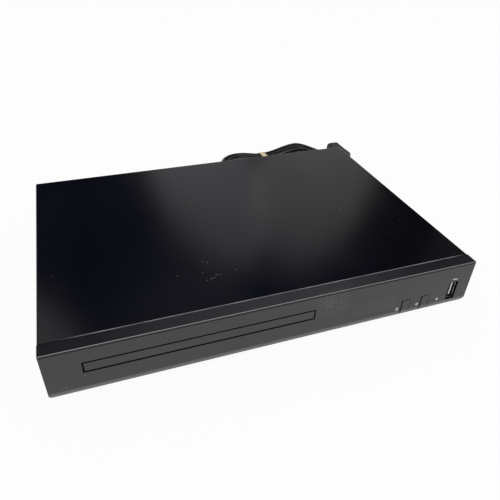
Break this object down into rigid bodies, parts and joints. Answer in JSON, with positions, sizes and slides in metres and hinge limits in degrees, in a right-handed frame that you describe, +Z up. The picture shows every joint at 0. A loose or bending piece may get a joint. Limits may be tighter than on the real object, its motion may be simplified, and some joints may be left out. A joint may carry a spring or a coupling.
{
  "type": "dvd player",
  "caption": "Compact disc player in a flat black casing, with a motor-driven loading tray, push buttons, a front USB socket and a bundled mains lead.",
  "frame": {"origin": "on the table, under the middle of the player measured without its mains lead", "axes": "+X to the player's right as seen from the front, +Y to the rear, +Z up; the tray comes out towards -Y"},
  "size_m": [0.2911, 0.2732, 0.038],
  "materials": {
    "cover_steel": "fine satin black paint",
    "panel_plastic": "fine moulded texture, dark grey",
    "window_plastic": "dark translucent",
    "clear_plastic": "clear light pipe",
    "zinc_sheet": "zinc plated sheet",
    "screw_black": "black finish",
    "foot_rubber": "matte rubber",
    "loader_plastic": "black moulding",
    "tray_plastic": "black moulding, fine texture",
    "gear_plastic": "natural white moulding",
    "motor_steel": "plated can",
    "polished_steel": "ground steel",
    "belt_rubber": "smooth rubber",
    "board_green": "solder mask with copper tracks",
    "component_black": "moulded resin",
    "sink_aluminium": "extruded",
    "capacitor_sleeve": "plain sleeve",
    "transformer_tape": "yellow tape over ferrite",
    "socket_metal": "nickel plated",
    "tongue_plastic": "white moulding",
    "socket_black": "black moulding",
    "insert_yellow": "moulded",
    "insert_white": "moulded",
    "insert_red": "moulded",
    "lens_glass": "coated lens",
    "ribbon_white": "flat ribbon",
    "wire_insulation": "insulated wire",
    "cord_pvc": "flexible insulation, satin black",
    "tie_paper": "cream twist tie",
    "plug_plastic": "moulded black",
    "pin_brass": "plated"
  },
  "bodies": {
    "chassis": {"bottom_pan": "zinc_sheet", "top_cover": "cover_steel", "rear_panel": "zinc_sheet", "cover_screws": "screw_black", "feet": "foot_rubber", "front_panel": "panel_plastic", "display_window": "window_plastic", "status_lens": "clear_plastic", "front_board": "board_green", "tact_switches": "component_black", "ir_receiver": "component_black", "status_led": "clear_plastic", "usb_socket": "socket_metal", "usb_tongue": "tongue_plastic", "loader_frame": "loader_plastic", "loading_motor": "motor_steel", "loading_belt": "belt_rubber", "clamp_bridge": "zinc_sheet", "loader_screws": "polished_steel", "main_board": "board_green", "board_spacers": "polished_steel", "processor": "component_black", "heat_sink": "sink_aluminium", "capacitors": "capacitor_sleeve", "power_board": "board_green", "power_transformer": "transformer_tape", "front_ribbon": "ribbon_white", "mains_leads": "wire_insulation", "hdmi_socket": "socket_metal", "av_housing": "socket_black", "socket_sleeves": "socket_metal", "socket_insert_yellow": "insert_yellow", "socket_insert_white": "insert_white", "socket_insert_red": "insert_red", "cord_gland": "socket_black", "cord_lead": "cord_pvc", "cord_hank": "cord_pvc", "cord_tail": "cord_pvc", "cord_tie": "tie_paper", "plug_body": "plug_plastic", "plug_pins": "pin_brass"},
    "tray": {"disc_tray": "tray_plastic", "tray_door": "panel_plastic"},
    "eject_button": {"eject_button": "panel_plastic"},
    "play_button": {"play_button": "panel_plastic"},
    "drive_gear": {"drive_gear": "gear_plastic"},
    "pulley_gear": {"pulley_gear": "gear_plastic"},
    "motor_pulley": {"motor_pulley": "gear_plastic"},
    "cam_slider": {"cam_slider": "gear_plastic"},
    "deck": {"lift_frame": "loader_plastic", "deck_bushes": "foot_rubber", "deck_plate": "zinc_sheet", "guide_rods": "polished_steel", "spindle_motor": "motor_steel", "feed_motor": "motor_steel"},
    "turntable": {"turntable": "loader_plastic"},
    "pickup": {"pickup_sled": "sink_aluminium", "pickup_lens": "lens_glass"},
    "feed_screw": {"feed_screw": "polished_steel"},
    "clamp_puck": {"clamp_puck": "gear_plastic"}
  },
  "joints": [
    {"name": "tray_slide", "type": "slide", "parent": "chassis", "child": "tray", "axis": [0, -1, 0], "range_m": [0, 0.124]},
    {"name": "drive_gear_spin", "type": "hinge", "parent": "chassis", "child": "drive_gear", "pos_m": [0.005, -0.073, 0.017], "axis": [0, 0, 1], "range_deg": [-1015, 0]},
    {"name": "pulley_gear_spin", "type": "hinge", "parent": "chassis", "child": "pulley_gear", "pos_m": [-0.013, -0.073, 0.015], "axis": [0, 0, 1], "range_deg": [0, 2639]},
    {"name": "motor_spin", "type": "hinge", "parent": "chassis", "child": "motor_pulley", "pos_m": [-0.0446, -0.073, 0.012], "axis": [0, 0, 1], "range_deg": [0, 10556]},
    {"name": "cam_slide", "type": "slide", "parent": "chassis", "child": "cam_slider", "axis": [-1, 0, 0], "range_m": [0, 0.014]},
    {"name": "deck_lift", "type": "hinge", "parent": "chassis", "child": "deck", "pos_m": [-0.0476, 0.05, 0.0165], "axis": [-1, 0, 0], "range_deg": [0, 4.5]},
    {"name": "turntable_spin", "type": "hinge", "parent": "deck", "child": "turntable", "pos_m": [-0.0476, -0.03298, 0.0193], "axis": [0, -0.0785, 0.9969], "continuous": true},
    {"name": "puck_spin", "type": "hinge", "parent": "chassis", "child": "clamp_puck", "pos_m": [-0.0476, -0.0325, 0.03], "axis": [0, 0, 1], "continuous": true},
    {"name": "pickup_slide", "type": "slide", "parent": "deck", "child": "pickup", "axis": [0, 0.9969, 0.0785], "range_m": [0, 0.034]},
    {"name": "screw_spin", "type": "hinge", "parent": "deck", "child": "feed_screw", "pos_m": [-0.0186, 0.01004, 0.01436], "axis": [0, 0.9969, 0.0785], "range_deg": [0, 4896.5]},
    {"name": "eject_press", "type": "slide", "parent": "chassis", "child": "eject_button", "axis": [0, 1, 0], "range_m": [0, 0.0005], "stiffness_N_per_m": 600},
    {"name": "play_press", "type": "slide", "parent": "chassis", "child": "play_button", "axis": [0, 1, 0], "range_m": [0, 0.0005], "stiffness_N_per_m": 600}
  ],
  "couplings": [
    {"joint": "drive_gear_spin", "follows": "tray_slide", "rad_per_m": -142.86},
    {"joint": "pulley_gear_spin", "follows": "tray_slide", "rad_per_m": 371.43},
    {"joint": "motor_spin", "follows": "tray_slide", "rad_per_m": 1485.7},
    {"joint": "deck_lift", "follows": "cam_slide", "rad_per_m": 5.6099},
    {"joint": "puck_spin", "follows": "turntable_spin", "ratio": 1},
    {"joint": "screw_spin", "follows": "pickup_slide", "rad_per_m": 2513.3}
  ]
}
